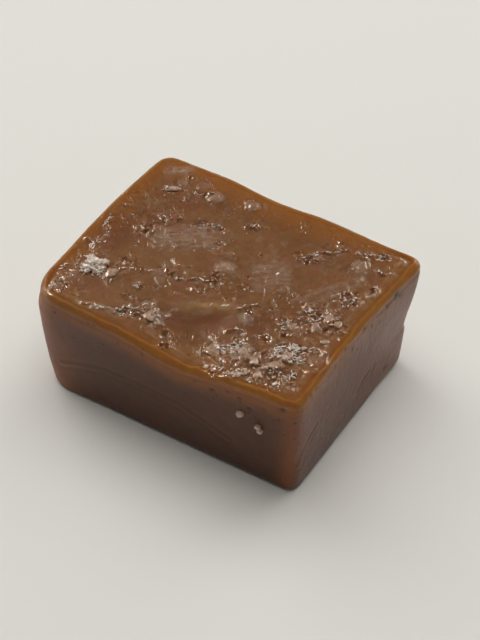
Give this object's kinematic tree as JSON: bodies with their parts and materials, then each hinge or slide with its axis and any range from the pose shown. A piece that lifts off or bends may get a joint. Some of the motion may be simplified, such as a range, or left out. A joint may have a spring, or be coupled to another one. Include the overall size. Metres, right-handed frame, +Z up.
{
  "type": "salted caramel candy",
  "caption": "Hand-cut block of soft salted caramel with rounded edges, a rimmed, dished top with salt crystals on it, and a flat base to rest on.",
  "frame": {"origin": "middle of the footprint's bounding box, on the flat base", "axes": "+X along the long side, +Z up out of the salted top; the long side at -Y is the one whose top edge sags"},
  "size_m": [0.0292, 0.0224, 0.0136],
  "materials": {
    "caramel": "glossy, slightly sticky, translucent brown, more orange where it is thin at the edges",
    "salt": "small clear to white crystals, some of them stained by the caramel"
  },
  "bodies": {
    "root": {"caramel": "caramel"}
  },
  "joints": []
}
